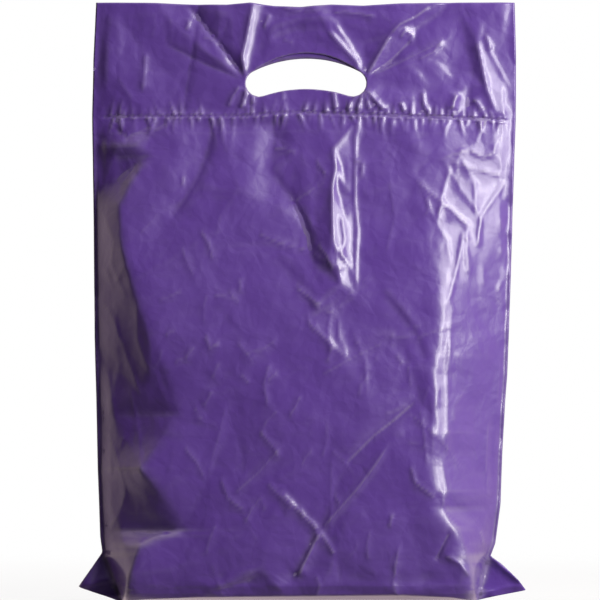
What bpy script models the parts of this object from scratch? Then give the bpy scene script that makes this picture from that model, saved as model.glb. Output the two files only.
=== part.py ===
"""Plastic carrier bag with a die-cut handle, standing on its opened bottom gusset.

One sheet of film is folded up from the base, turned over at the mouth and welded down both sides, so
the bag is one piece. It is modelled as a hollow shell: an outer skin and an inner skin, each lofted
through level rings, joined round the open mouth. A curved slot is then punched through both walls.
Metres, +Z up, the front faces -Y, the origin is the middle of the base.
"""

import math

import bmesh
import bpy

# Driving dimensions
HEIGHT = 0.470  # base to mouth, at the side welds
TOP_HALF_WIDTH = 0.167  # at the turn-over's weld
HANDLE_WIDTH = 0.0948  # tip to tip of the punched slot
HANDLE_RISE = 0.414  # height of the slot's middle
TURN_OVER = 0.0915  # depth of the doubled film below the mouth
BASE_DEPTH = 0.080  # the gusset, opened flat
FILM = 0.0005  # one wall of film, thick enough to stay a solid body
SIDE_WELD = 0.0035  # width of the flat fin along each side
MOUTH_GAP = 0.020  # the mouth stands open this far at its middle
MOUTH_DIP = 0.0042  # the mouth's middle hangs below its corners

# Outline of the side welds: height above the base, half of the bag's width there
SIDE_OUTLINE = (
    (0.000, 0.1465),
    (0.011, 0.1765),  # tip of the gusset's corner ear
    (0.037, 0.1555),  # notch where the body pulls the weld in
    (0.060, 0.1570),
    (0.130, 0.1590),
    (0.230, 0.1625),
    (0.320, 0.1655),
    (0.3785, TOP_HALF_WIDTH),
    (HEIGHT, 0.1655),
)

# Fullness of the body: height above the base, half of its depth there
FULLNESS = (
    (0.000, BASE_DEPTH / 2 - 0.003),
    (0.008, BASE_DEPTH / 2),
    (0.037, BASE_DEPTH / 2 + 0.0015),
    (0.130, BASE_DEPTH / 2 + 0.0015),
    (0.230, BASE_DEPTH / 2 - 0.006),
    (0.320, BASE_DEPTH / 2 - 0.019),
    (0.3785, MOUTH_GAP / 2 + 0.0015),
    (HEIGHT, MOUTH_GAP / 2),
)

EAR_TOP = 0.037
WELD_HEIGHT = HEIGHT - TURN_OVER  # the weld that closes the turn-over
WELD_GROOVE = 0.0003
WELD_HALF_HEIGHT = 0.0009
PLATEAU = 0.62  # share of the half-width over which the walls are nearly flat
PLATEAU_FALL = 0.06  # share of the depth lost across that plateau
SHOULDER = 0.35  # how much the walls bulge on their way down to the side welds
COLUMNS = 16  # strips across each wall
BODY_LEVELS = (0.0, 0.004, 0.011, 0.022, 0.037, 0.060, 0.095, 0.130, 0.180, 0.230, 0.275, 0.320, 0.352)
TOP_LEVELS = (0.396, 0.4145, 0.433, 0.452, HEIGHT)

HANDLE_ARC = 0.093  # radius of the slot's bowed middle line
HANDLE_HALF_MIDDLE = 0.0122  # half of the slot's height at its middle
HANDLE_HALF_END = 0.0108  # radius of its round ends
HANDLE_STEPS = 12


def clear_scene():
    for obj in list(bpy.data.objects):
        bpy.data.objects.remove(obj)


def between(stations, height):
    """The value at a height, straight between stations."""
    for (low, first), (high, last) in zip(stations, stations[1:]):
        if height <= high:
            share = (height - low) / (high - low)
            return first + (last - first) * share
    return stations[-1][1]


def smooth(share):
    share = min(1.0, max(0.0, share))
    return share * share * (3 - 2 * share)


def body_half_width(height):
    """Half of the width of the space inside; the ears below it are flat film."""
    ear_top_half = between(SIDE_OUTLINE, EAR_TOP)
    base_half = SIDE_OUTLINE[0][1]
    if height < EAR_TOP:
        half = base_half + (ear_top_half - base_half) * height / EAR_TOP
    else:
        half = between(SIDE_OUTLINE, height)
    return half - SIDE_WELD


def fullness_across(share):
    """Flat across the middle of a wall, then falling away to the side weld."""
    if share <= PLATEAU:
        return 1.0 - PLATEAU_FALL * (share / PLATEAU) ** 2
    fall = (share - PLATEAU) / (1 - PLATEAU)
    return (1 - PLATEAU_FALL) * (1 - fall) * (1 + SHOULDER * fall)


def wall_thickness(height):
    """The film is doubled down to the turn-over's weld."""
    return 2 * FILM if height > WELD_HEIGHT else FILM


def mouth_dip(x, height):
    """The mouth sags in its middle, and the sag fades out down to the slot."""
    across = 1 - (x / TOP_HALF_WIDTH) ** 2
    down = smooth((height - HANDLE_RISE) / (HEIGHT - HANDLE_RISE))
    return MOUTH_DIP * across * down


def column_shares():
    """Places across a wall, from its left edge, -1, to its right edge, 1."""
    return [-1 + 2 * i / COLUMNS for i in range(COLUMNS + 1)]


def inner_ring(height):
    """One level of the inner skin: the front from left to right, then the back."""
    half = body_half_width(height)
    depth = between(FULLNESS, height) - wall_thickness(height)
    front = []
    for share in column_shares():
        x = half * share
        y = max(depth * fullness_across(abs(share)), FILM)
        front.append((x, -y, height - mouth_dip(x, height)))
    return front + [(x, -y, z) for x, y, z in reversed(front)]


def outer_ring(height, groove=0.0):
    """One level of the outer skin, with the side welds' fins and the ears outside it."""
    half = body_half_width(height)
    edge = between(SIDE_OUTLINE, height)
    wall = wall_thickness(height)
    depth = between(FULLNESS, height) - wall
    front = [(-edge, -FILM, height)]
    for share in column_shares():
        x = half * share
        y = max(depth * fullness_across(abs(share)), FILM) + wall - groove
        front.append((x, -y, height - mouth_dip(x, height)))
    front.append((edge, -FILM, height))
    return front + [(x, -y, z) for x, y, z in reversed(front)]


def add_ring(bm, points):
    verts = [bm.verts.new(point) for point in points]
    return [bm.edges.new((a, b)) for a, b in zip(verts, verts[1:] + verts[:1])]


def loft(bm, rings):
    """Bridges each ring to the next, and gives the first and last rings' edges."""
    loops = [add_ring(bm, ring) for ring in rings]
    for lower, upper in zip(loops, loops[1:]):
        bmesh.ops.bridge_loops(bm, edges=lower + upper)
    return loops[0], loops[-1]


def outer_rings():
    """The outer skin's levels, with the weld pressed in as a shallow groove."""
    rings = [outer_ring(level) for level in BODY_LEVELS]
    rings.append(outer_ring(WELD_HEIGHT - 2 * WELD_HALF_HEIGHT))
    rings.append(outer_ring(WELD_HEIGHT, groove=WELD_GROOVE))
    rings.append(outer_ring(WELD_HEIGHT + 2 * WELD_HALF_HEIGHT))
    return rings + [outer_ring(level) for level in TOP_LEVELS]


def inner_rings():
    """The inner skin starts one film above the base and steps in at the turn-over's lower edge."""
    levels = [FILM] + [level for level in BODY_LEVELS if level > FILM]
    levels += [WELD_HEIGHT - WELD_HALF_HEIGHT, WELD_HEIGHT + WELD_HALF_HEIGHT]
    return [inner_ring(level) for level in levels + list(TOP_LEVELS)]


def bag_mesh():
    bm = bmesh.new()
    outer_base, outer_mouth = loft(bm, outer_rings())
    inner_base, inner_mouth = loft(bm, inner_rings())
    bmesh.ops.contextual_create(bm, geom=outer_base)
    bmesh.ops.contextual_create(bm, geom=inner_base)
    bmesh.ops.triangle_fill(bm, use_beauty=True, edges=outer_mouth + inner_mouth, normal=(0, 0, 1))
    bmesh.ops.recalc_face_normals(bm, faces=bm.faces[:])
    mesh = bpy.data.meshes.new("carrier_bag")
    bm.to_mesh(mesh)
    bm.free()
    return mesh


def handle_outline():
    """The slot's outline in X and Z: a bowed band with round ends, anticlockwise from its right end."""
    end_half = HANDLE_WIDTH / 2 - HANDLE_HALF_END
    spread = math.asin(end_half / HANDLE_ARC)
    centre_z = HANDLE_RISE - HANDLE_ARC

    def band(angle, side):
        taper = (angle / spread) ** 2
        half = HANDLE_HALF_MIDDLE + (HANDLE_HALF_END - HANDLE_HALF_MIDDLE) * taper
        radius = HANDLE_ARC + side * half
        return radius * math.sin(angle), centre_z + radius * math.cos(angle)

    def cap(end_angle, start):
        """The half circle at one end of the band, from one side of the band round to the other."""
        x = HANDLE_ARC * math.sin(end_angle)
        z = centre_z + HANDLE_ARC * math.cos(end_angle)
        steps = [start + math.pi * i / HANDLE_STEPS for i in range(1, HANDLE_STEPS)]
        return [(x + HANDLE_HALF_END * math.cos(a), z + HANDLE_HALF_END * math.sin(a)) for a in steps]

    angles = [spread * (1 - 2 * i / HANDLE_STEPS) for i in range(HANDLE_STEPS + 1)]
    top = [band(angle, 1) for angle in angles]
    bottom = [band(-angle, -1) for angle in angles]
    right = cap(spread, -math.pi / 2 - spread)
    left = cap(-spread, math.pi / 2 + spread)
    return right + top + left + bottom


def handle_punch():
    """The cutter: the slot's outline extruded through both walls."""
    bm = bmesh.new()
    reach = BASE_DEPTH / 2
    verts = [bm.verts.new((x, -reach, z)) for x, z in handle_outline()]
    face = bm.faces.new(verts)
    grown = bmesh.ops.extrude_face_region(bm, geom=[face])
    moved = [item for item in grown["geom"] if isinstance(item, bmesh.types.BMVert)]
    bmesh.ops.translate(bm, verts=moved, vec=(0, 2 * reach, 0))
    bmesh.ops.recalc_face_normals(bm, faces=bm.faces[:])
    mesh = bpy.data.meshes.new("handle_punch")
    bm.to_mesh(mesh)
    bm.free()
    punch = bpy.data.objects.new("handle_punch", mesh)
    bpy.context.scene.collection.objects.link(punch)
    punch.hide_render = True
    punch.display_type = "WIRE"
    return punch


def purple_film():
    material = bpy.data.materials.new("purple_film")
    material.use_nodes = True
    shader = material.node_tree.nodes["Principled BSDF"]
    shader.inputs["Base Color"].default_value = (0.118, 0.052, 0.300, 1.0)
    shader.inputs["Roughness"].default_value = 0.22
    shader.inputs["Metallic"].default_value = 0.0
    return material


def make_bag():
    mesh = bag_mesh()
    bag = bpy.data.objects.new("carrier_bag", mesh)
    bpy.context.scene.collection.objects.link(bag)
    mesh.materials.append(purple_film())
    mesh.shade_smooth()
    mesh.set_sharp_from_angle(angle=math.radians(40))
    cut = bag.modifiers.new("handle", "BOOLEAN")
    cut.operation = "DIFFERENCE"
    cut.solver = "EXACT"
    cut.object = handle_punch()
    return bag


clear_scene()
make_bag()
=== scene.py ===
"""Looks of the plastic carrier bag: glossy violet film, folded, turned over at the mouth, welded and creased.

The bag is one closed shell of film, with an outer skin and an inner skin. Both start as a grid that is
rolled into a tube, and a shaping function gives each point its place. The front's folds and facets are
listed, the rest of the crumpling is drawn from seeded random numbers.
Metres, +Z up, the front faces -Y. The lists of folds are in millimetres: across, up, and out of the wall.
"""

import math

import bmesh
import bpy
import numpy as np
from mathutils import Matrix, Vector, geometry


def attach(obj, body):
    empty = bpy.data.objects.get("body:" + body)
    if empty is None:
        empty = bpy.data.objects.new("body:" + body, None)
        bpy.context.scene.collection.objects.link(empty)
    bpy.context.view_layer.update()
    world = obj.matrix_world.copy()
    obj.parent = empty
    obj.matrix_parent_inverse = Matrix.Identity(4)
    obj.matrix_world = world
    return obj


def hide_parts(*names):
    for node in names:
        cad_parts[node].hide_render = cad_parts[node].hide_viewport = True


bl_info = {
    "name": "Creased Carrier Bag",
    "version": (1, 0, 0),
    "blender": (4, 5, 0),
    "location": "3D Viewport > Sidebar > Carrier Bag",
    "description": "Builds a creased film carrier bag around its packed frame",
    "category": "Add Mesh",
}

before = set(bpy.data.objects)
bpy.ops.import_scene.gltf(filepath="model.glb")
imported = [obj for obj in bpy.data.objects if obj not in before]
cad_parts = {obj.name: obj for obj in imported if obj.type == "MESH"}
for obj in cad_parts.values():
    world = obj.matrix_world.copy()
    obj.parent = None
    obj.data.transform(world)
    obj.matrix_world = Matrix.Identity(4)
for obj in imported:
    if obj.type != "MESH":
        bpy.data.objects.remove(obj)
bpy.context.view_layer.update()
MM = 0.001

# Edges of the bag along its side welds: height, and distance from the middle, in millimetres
LEFT_EDGE = (
    (0, 147.5), (4, 157), (11, 177.5), (24, 168.5), (38, 159), (50, 160.7), (100, 162.7), (145, 163.8),
    (205, 165.6), (298, 166.8), (381, 168.3), (425, 167.4), (470, 165.5),
)
RIGHT_EDGE = (
    (0, 134), (4, 150), (8.5, 171.5), (17, 165), (29, 152.5), (35, 144), (45, 147.8), (76, 152),
    (115, 153.5), (154, 155.8), (176, 157.6), (205, 158.8), (268, 161.2), (317, 162.7), (381, 165.1),
    (425, 165.4), (470, 164.6),
)
# Edges of the flat base under the bag's ears
LEFT_FOOT = 146.0
RIGHT_FOOT = 136.5
EAR_TOP = 36.0
FIN = 2.6  # width of the flat fin along each side weld
# The front's lower edge is bowed up: place across, and height
FRONT_FOOT = (
    (-160, 0), (-140, 0.8), (-122, 2.8), (-84, 4.4), (-5, 5.4), (74, 6.2), (112, 4.2), (133, 0.8),
    (165, 0),
)

# How full the bag is: height, and half of its depth, in millimetres
FULLNESS = (
    (0, 30), (2.5, 33.5), (7, 36.5), (13, 38.4), (24, 40), (40, 41.3), (62, 42), (130, 41.5), (180, 38.5),
    (230, 33.5), (280, 27), (320, 20.5), (350, 15), (372, 11), (380, 9.6), (392, 8.6), (415, 5.6),
    (440, 4.4), (470, 4.2),
)
# Where the front turns away to the side welds: height, and distance from the middle, in millimetres.
# On the left the film has buckled, and the turn runs in a zigzag.
LEFT_TURN = (
    (0, 140), (20, 136.5), (44, 128), (52, 113), (55, 96), (84, 113), (102.5, 128), (127, 111),
    (145, 101.5), (167, 107), (201, 121), (243, 134), (273, 143), (309, 146), (327, 141), (346, 125),
    (356, 138), (372, 112), (385, 96), (470, 84),
)
RIGHT_TURN = (
    (0, 130), (20, 127.5), (57, 115), (72, 102.7), (86, 105.5), (115, 101.5), (131, 105), (175, 104.5),
    (191, 107), (229, 109), (240, 107), (268, 102), (296, 97), (330, 86), (350, 92), (372, 88), (385, 84),
    (470, 80),
)
BACK_TURN = ((0, 132), (60, 112), (200, 108), (300, 100), (372, 90), (470, 80))

LEFT_SHOULDER = 0.05  # bulge of the left flank
RIGHT_SHOULDER = ((0, 0.14), (235, 0.14), (275, 0.5), (372, 0.5), (400, 0.14), (470, 0.14))
LEFT_ROUNDING = 0.6
RIGHT_ROUNDING = ((0, 2.5), (350, 2.5), (380, 8), (470, 8))
# A band along the right turn leans halfway to the side: height, and width of the band
RIGHT_BAND = (
    (0, 0), (16, 3), (40, 7), (62, 5), (72, 3), (84, 7), (104, 8), (115, 4), (130, 8), (160, 12), (178, 11),
    (196, 9), (214, 8), (229, 6), (245, 0), (470, 0),
)
BAND_SLOPE = 0.47
BAND_SOFTNESS = 5.0
CROWN = 0.05  # share of the depth lost from the middle of a wall to its turn
NARROWEST_FLANK = 6.0
# Above the weld the back follows the front: height, and the gap left between the two walls
WALL_GAP = ((380, 9), (400, 2.2), (416, 1.5), (442, 1.5), (456, 3), (470, 8))

# The weld that holds the turned-over film: place across, and height
WELD_LINE = ((-168, 379.2), (-52, 378.8), (-20, 381.2), (-4, 382.0), (35, 380.2), (114, 377.8), (165, 376.0))
WELD_ROW = 379.5  # the weld in the flat mesh
MOUTH_ROW = 470.0  # the mouth in the flat mesh
WELD_PULL = 28.0  # rows this near the weld follow its line
MOUTH_PULL = 38.0
FOOT_PULL = 26.0
LIMP_FROM = 392.0  # above the weld's stiff strip both walls may lean past the middle plane
# The mouth's edge
MOUTH_LINE = (
    (-166, 470), (-120, 469.4), (-85, 468.2), (-62, 467.6), (-44, 469), (-25, 466.6), (-5, 465.8),
    (20, 467.8), (45, 466.8), (75, 468.6), (120, 469.6), (165, 470),
)

# Nodes of the film's facets on the front, where creases meet: across, up, out
NODES = {
    # left side: the wall buckles in a zigzag between the front panel and the side weld
    "pocket_edge": (-167, 357, 0), "pocket_brow": (-149, 352, 3.5), "pocket_tip": (-125, 347, 1.5),
    "pocket_floor": (-143, 330, -4), "pocket_low": (-160, 324, -1.5), "corner_high": (-146, 308, 1.5),
    "edge_a": (-165.5, 309, 0), "side_a": (-152, 291, 2.5), "side_b": (-142.5, 272, 2.5),
    "side_c": (-136, 246, 2.5), "edge_b": (-165, 274, 0), "edge_c": (-164.5, 243, 0),
    "side_d": (-151, 217, 2.5), "side_e": (-122, 207, 2.5), "edge_d": (-164, 202, 0),
    "lip_high": (-126, 163, 4.0), "cup_high": (-150, 146, 6.0), "cup_in": (-101, 145.5, -1.2),
    "edge_e": (-163, 142.5, 0), "band": (-147, 119, 3.5), "side_f": (-121, 182, 3.5),
    "side_g": (-145, 178, 2.5), "corner_mid": (-128, 102.5, 2.0), "cup_low": (-146, 66, 6.0),
    "lip_low": (-112, 83, 1.5), "cup_low_in": (-95.5, 54.5, -1.5), "lip_under": (-120, 71, 4.5),
    "notch": (-159, 47, 0), "corner_low": (-135.5, 20, 4.5), "left_foot": (-148, 1, 0),
    # right side: a long ridge down the turn of the wall, and a fan of facets under the weld
    "fan_a": (105.5, 345, 3.6), "fan_b": (158.5, 332, 1.2), "fan_c": (86, 329.5, 2.6),
    "fan_d": (136.5, 303, 1.6), "fan_e": (119, 289.5, 0.6), "fan_f": (134.5, 277, 0.8),
    "fan_left": (98, 296, 1.6), "fan_low": (104, 268, 1.8), "fan_side": (151, 312, 1.4),
    "fan_side_high": (152, 347, 1.8), "fan_side_low": (150, 286, 0.8), "fan_top": (128, 353, 2.4),
    "fan_top_right": (146, 353, 2.2), "ridge_a": (107, 229, 1.6), "ridge_b": (103, 191, 1.4),
    "ridge_c": (98.5, 174, 1.8), "ridge_d": (101, 131, 2.0), "ridge_e": (99, 115, 1.2),
    "ridge_f": (101.5, 86, 2.0), "ridge_g": (101, 72, 1.6), "ridge_h": (112, 57, 2.0),
    "ridge_i": (126, 20, 2.0), "right_foot": (136.5, 1, 0), "patch": (121.5, 79, 2.8),
    "patch_low": (118, 66, 0.5), "right_edge_a": (161, 262, 0), "right_edge_b": (158.5, 190, 0),
    "right_edge_c": (154.5, 110, 0), "right_edge_d": (151, 48, 0), "right_slope_a": (133, 225, -0.8),
    "right_slope_b": (131, 150, -0.9), "right_slope_c": (130, 100, -0.6),
    # middle: two long ridges under the slot, and the folds round them
    "strip_a": (35, 372, 1.0), "strip_b": (21.5, 352, 3.0), "strip_c": (23, 338, 4.0),
    "strip_d": (20.4, 320, 4.6), "strip_e": (20.2, 300, 6.2), "strip_f": (20, 283, 7.0),
    "strip_g": (19, 268, 6.6), "strip_h": (27, 246, 3.8), "strip_p": (38.6, 350, -0.8),
    "strip_q": (37.4, 314, -0.9), "strip_r": (40, 287, -1.4), "strip_s": (38.5, 262, -1.2),
    "strip_t": (38.5, 236, 0.2), "strip_m": (31, 290, 2.5), "strip_n": (25.5, 318, 0.9),
    "strip_o": (28, 340, 0.4), "strip_u": (33.5, 344, 0.2), "strip_v": (32, 318, 1.2),
    "beside_a": (9, 330, 1.0), "beside_b": (6, 290, 1.0), "beside_c": (6, 262, 0.2),
    "left_of_ridges": (-8, 300, -0.8), "dark_top": (-24, 377, -2.4), "dark_left": (-24, 354, -2.8),
    "dark_right": (-7, 349, -0.8), "valley_top": (-70, 378, -1.0), "valley_mid": (-84, 330, -1.2),
    "valley_low": (-106, 297, -0.5), "swell_left": (-103, 333, 0.8), "swell_mid": (-52, 320, 1.8),
    "arc_a": (-28, 335, -1.0), "arc_b": (-12, 316, -2.4), "arc_c": (2, 281, -2.2), "tail": (2, 224, 1.4),
    "tail_low": (22, 227, -0.6), "plain_a": (70, 300, -1.2), "plain_b": (62, 240, 0.6),
    "plain_c": (74, 195, -0.8), "cross": (10.5, 55, -2.6), "cross_left": (-20, 85, 0.8),
    "cross_foot": (-7, 20, -1.8), "cross_right": (22, 37, 0.4), "cross_arm": (39, 87, 0.9),
    "cross_far": (62, 120, 0.8), "upper_crease": (88, 157, -1.0), "upper_crease_end": (28, 101, -0.6),
    "belly_a": (-40, 190, 1.2), "belly_b": (-70, 230, 0.6), "belly_c": (-60, 130, -0.9),
    "belly_d": (-20, 145, 0.8), "belly_e": (52, 150, 0.9), "low_a": (-70, 34, 0.6),
    "low_b": (-45, 17, -2.2), "low_c": (50, 26, 1.2), "low_d": (90, 20, -1.6), "low_g": (-72, 9, 1.4),
    "low_h": (-34, 26, 1.2), "low_i": (-18, 8, 0.8), "low_j": (28, 12, -1.6), "low_k": (64, 9, 0.8),
    "low_l": (18, 24, 1.0), "low_m": (112, 9, 0.8), "low_n": (-98, 28, 0.9), "low_e": (75, 70, 0.6),
    "mark_a": (-76, 283, 0.9), "mark_b": (-68, 274, -0.4), "mark_c": (-62, 232, 1.0),
    "low_f": (-100, 10, 0.6),
}
# Creases that run straight from node to node
NODE_CREASES = (
    "pocket_edge pocket_brow pocket_tip pocket_floor pocket_low",
    "pocket_tip corner_high side_b side_c side_e cup_in lip_high cup_high cup_in corner_mid cup_high",
    "side_a side_b", "side_d side_e side_f lip_high side_g edge_d",
    "edge_e band corner_mid cup_low cup_low_in lip_low corner_mid",
    "cup_low lip_under cup_low_in corner_low notch cup_low corner_low left_foot",
    "fan_d fan_a fan_b fan_d fan_e fan_f fan_d",
    "fan_top_right fan_top fan_a fan_c fan_left fan_low ridge_a fan_f", "fan_e fan_low",
    "fan_b fan_side fan_side_low",
    "ridge_a ridge_b ridge_c ridge_d ridge_e ridge_f ridge_g ridge_h ridge_i right_foot",
    "ridge_g patch patch_low ridge_g",
    "strip_a strip_b strip_c strip_d strip_e strip_f strip_g strip_h strip_s strip_r strip_q strip_p",
    "strip_d strip_m strip_s strip_t", "beside_a beside_b beside_c", "valley_top valley_mid valley_low",
    "dark_top dark_left dark_right", "arc_a arc_b arc_c", "cross_foot cross cross_left",
    "cross_right cross cross_arm cross_far", "low_g low_h low_i low_b low_h",
    "low_l low_j low_k low_c low_d low_m", "upper_crease upper_crease_end", "mark_a mark_b",
)

# Nodes of the turned-over top, in the same form: folds run out from both ends of the slot
TOP_NODES = {
    "slot_left": (-47.4, 407, 0.8), "slot_right": (47.4, 407, 1.2), "vale_a": (-68, 436, -2.8),
    "vale_b": (-92, 466, -2.4), "rise_a": (-82, 433, 0.5), "rise_b": (-114, 462, 0.8),
    "dip_a": (-80, 421, -1.6), "dip_b": (-109, 436, -1.4), "diamond": (-126.4, 428.5, -1.4),
    "diamond_in": (-99.5, 405.7, -2.6), "diamond_low": (-83.7, 388.5, -1.6),
    "crest_left": (-147, 410.4, 2.0), "edge_left": (-167, 397, 0), "mouth_left": (-148, 458, 0.6),
    "pleat_foot": (-50.2, 426, 2.6), "pleat_top": (-42, 467, 2.8), "pleat_in_foot": (-44.5, 421, -0.4),
    "pleat_in_top": (-35.5, 460, -0.3), "pleat_out_foot": (-57, 434, 1.2), "pleat_out_top": (-60, 460, 1.0),
    "wedge_a": (56, 426, 2.6), "wedge_b": (66.4, 444, 2.4), "wedge_c": (64.8, 421.4, -1.0),
    "wedge_d": (83.7, 441, -1.6), "streak_a": (71.9, 451, 2.4), "streak_b": (98.8, 466, 1.2),
    "streak_c": (88, 450, -1.3), "streak_d": (105, 461, -1.6), "shade": (95, 424.5, 1.2),
    "up_a": (19, 445, 2.6), "up_b": (41, 420, 1.8), "up_c": (34.5, 438, -0.5), "up_d": (28, 453, -0.3),
    "up_e": (45, 437, -0.6), "plain": (-5, 446, 0.2), "plain_left": (-20, 438, 0.0),
    "wing_a": (134.3, 438.6, 3.4), "wing_b": (142, 401, 4.6), "wing_c": (148.5, 384, 2.2),
    "wing_d": (141, 438, 1.2), "wing_e": (152, 417, 0.4), "wing_edge": (164.3, 396.3, 0),
    "wing_left": (127, 431, 0.8), "wing_low": (131, 412, 0.6), "wing_top": (140, 458, 0.8),
    "patch_a": (117, 393, 2.4), "patch_b": (129, 405.7, 1.6), "patch_c": (126, 389, -0.6),
    "plain_right": (112, 420, 0.8), "plain_top": (122, 462, 0.4),
}
TOP_NODE_CREASES = (
    "rise_b rise_a slot_left vale_a vale_b",
    "pleat_top pleat_foot slot_left dip_a dip_b diamond diamond_in diamond_low",
    "diamond crest_left edge_left", "pleat_out_top pleat_out_foot slot_left pleat_in_foot pleat_in_top",
    "slot_left diamond_in",
    "streak_d streak_c wedge_d wedge_c slot_right wedge_a wedge_b streak_a streak_b",
    "up_a up_b slot_right shade", "up_d up_c slot_right up_e",
    "wing_b wing_edge wing_e wing_d wing_a wing_b wing_c", "patch_a patch_b patch_c patch_a",
)

# Soft folds of the front's body: height out of the wall, width of the left and right flanks, and then
# points along the fold as (across, up)
BODY_FOLDS = (
    (-2.4, 4, 16, (-72, 379), (-78, 350), (-90, 322), (-107, 297)),
    (1.6, 9, 12, (-60, 372), (-66, 345), (-78, 318), (-92, 300)),
    (1.0, 9, 9, (-98, 372), (-100, 350), (-112, 316)), (0.9, 8, 10, (-40, 372), (-44, 340), (-52, 300)),
    (-2.4, 9, 8, (-26, 378), (-25, 360), (-30, 340), (-27, 300)),
    (1.6, 8, 9, (-8, 372), (-4, 340), (2, 300), (4, 270)),
    (-1.6, 3, 7, (-28, 335), (-16, 320), (-4, 300), (3, 280)),
    (-1.6, 10, 10, (60, 374), (70, 345), (84, 310), (88, 280)),
    (1.6, 6, 8, (76, 374), (84, 358), (96, 344)), (-1.4, 5, 10, (-30, 270), (-10, 250), (10, 215)),
    (1.0, 10, 14, (-80, 250), (-60, 225), (-30, 190)), (-1.2, 3, 5, (62, 236), (84, 208), (92, 185)),
    (1.1, 4, 3, (60, 243), (78, 222), (88, 204)), (0.9, 14, 12, (-100, 180), (-60, 160), (-10, 170)),
    (0.8, 12, 10, (20, 190), (40, 160), (76, 128)), (-0.8, 12, 12, (-90, 110), (-50, 100), (-10, 110)),
    (1.4, 5, 4, (-100, 16), (-40, 12), (30, 14), (90, 10), (125, 14)),
    (1.3, 4, 4, (-80, 8), (-50, 22), (-38, 26)), (-1.0, 6, 6, (30, 20), (60, 14), (100, 20)),
    (0.8, 12, 14, (120, 225), (128, 190), (124, 150)),
)
# Sharp pinched folds of the front's body, in the same form
BODY_CREASES = (

    (
        0.9, 1.6, 1.6,
        (41, 378), (31, 364), (21, 352), (23.5, 338), (20.4, 324), (20, 308), (21, 283), (27, 246),
    ),
    (1.3, 1.5, 1.6, (41, 378), (38.7, 362), (38.5, 344), (37.6, 314), (40, 287), (38.5, 262), (39, 240)),
    (1.2, 2.0, 2.0, (38, 344), (44, 341), (43, 330)), (0.9, 2.2, 1.6, (28, 300), (30, 280), (26, 262)),
    (1.0, 2.0, 1.6, (22, 275), (32, 262), (24, 256)), (1.0, 1.6, 3.2, (-7, 349), (-16, 352), (-26, 354)),
    (0.9, 1.6, 1.4, (8, 343), (12, 337), (16, 331)), (1.2, 1.8, 1.4, (9, 277), (16, 267), (21, 256)),
    (1.3, 2.0, 3.0, (-8, 244), (2, 236), (12, 227)),
    (1.0, 1.8, 2.4, (1, 222), (3, 214), (12, 206), (34, 186)),
    (0.8, 1.6, 1.4, (-82, 288), (-76, 278), (-72, 264)), (0.6, 1.4, 1.4, (-60, 240), (-52, 232)),
    (-1.4, 1.6, 2.6, (86, 157), (70, 142), (52, 128), (30, 106)),
    (1.3, 1.4, 2.2, (62, 119), (52, 104), (39, 87), (10.5, 55)),
    (1.5, 1.4, 2.4, (-20, 85), (-8, 73), (10.5, 55)), (3.2, 3.4, 1.6, (10.5, 55), (4, 42), (-7, 20)),
    (1.5, 1.6, 1.8, (10.5, 55), (22, 37)), (-1.3, 1.3, 2.0, (110, 54), (104, 42), (99, 32)),
    (1.3, 2.0, 2.0, (106, 37), (118, 30), (126, 20)), (1.1, 2.0, 1.6, (135, 56), (138, 44)),
    (1.0, 1.6, 1.8, (80, 106), (84, 92), (100, 80)), (0.8, 1.6, 1.6, (66, 68), (64, 58)),
    (0.7, 1.8, 2.0, (70, 190), (74, 184)), (0.7, 1.3, 1.3, (22, 82), (26, 76)),
    (0.6, 1.6, 1.6, (-94, 120), (-84, 108), (-78, 96)), (0.5, 1.6, 1.6, (-86, 150), (-80, 140)),
    (0.9, 2.4, 1.8, (-78, 206), (-74, 196), (-66, 200)), (0.6, 1.6, 1.6, (-50, 176), (-44, 168)),
    (0.8, 1.6, 1.8, (-36, 132), (-24, 118), (-20, 110)), (0.7, 1.8, 1.6, (-66, 96), (-60, 80), (-46, 70)),
    (0.7, 2.0, 1.6, (-10, 70), (-22, 84), (-30, 92)),
    (1.0, 1.6, 2.2, (150, 360), (147, 350), (139, 347), (128, 352), (118, 349), (106, 345)),
    (0.7, 1.2, 2.0, (105.5, 345), (130, 338), (158, 332)),
    (0.5, 1.4, 1.4, (105.5, 345), (120, 322), (136, 301)),
    (0.8, 1.6, 1.4, (159, 330), (148, 316), (137, 300)),
    (0.9, 1.4, 2.0, (86, 329), (96, 318), (112, 306), (122, 296), (132, 290)),
    (0.5, 1.4, 2.0, (86, 329), (94, 312), (100, 296), (110, 280), (112, 262)),
    (0.8, 2.0, 1.6, (134, 277), (122, 284), (118, 262), (110, 230)),
    (1.0, 1.6, 1.8, (137, 300), (135, 286), (134, 276)),
    (0.5, 1.6, 1.4, (113, 229), (111, 196), (109, 176), (109, 132), (103, 115)),
    (0.6, 1.5, 1.8, (103, 115), (109, 86), (104, 72), (117, 57), (123, 38), (129, 20), (136, 3)),
    (1.1, 1.5, 1.5, (154, 250), (151, 243), (157, 228)),
    (0.9, 2.0, 1.5, (152, 300), (156, 282), (152, 268)),
    (0.9, 1.5, 1.5, (153, 200), (150, 160), (152, 140), (148, 120), (150, 80)),
    (0.6, 1.5, 1.5, (142, 140), (140, 110), (142, 84)),
    (-1.3, 2.2, 3.2, (-152, 372), (-140, 362), (-116, 374), (-110, 380)),
    (0.9, 2.0, 2.0, (-158, 300), (-150, 280), (-152, 262), (-140, 235)),
    (0.7, 1.8, 2.2, (-160, 262), (-150, 246), (-140, 262)),
    (0.9, 1.8, 2.2, (-162, 235), (-152, 224), (-146, 206), (-140, 196)),
    (0.8, 2.0, 2.2, (-163, 190), (-154, 172), (-150, 148)),
    (0.8, 1.8, 2.2, (-142, 196), (-134, 176), (-128, 160)),
    (0.9, 1.8, 2.0, (-162, 142), (-152, 126), (-147, 112), (-140, 84), (-146, 66)),
    (0.8, 1.6, 1.6, (-158, 47), (-150, 62), (-146, 66)),
)
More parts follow.
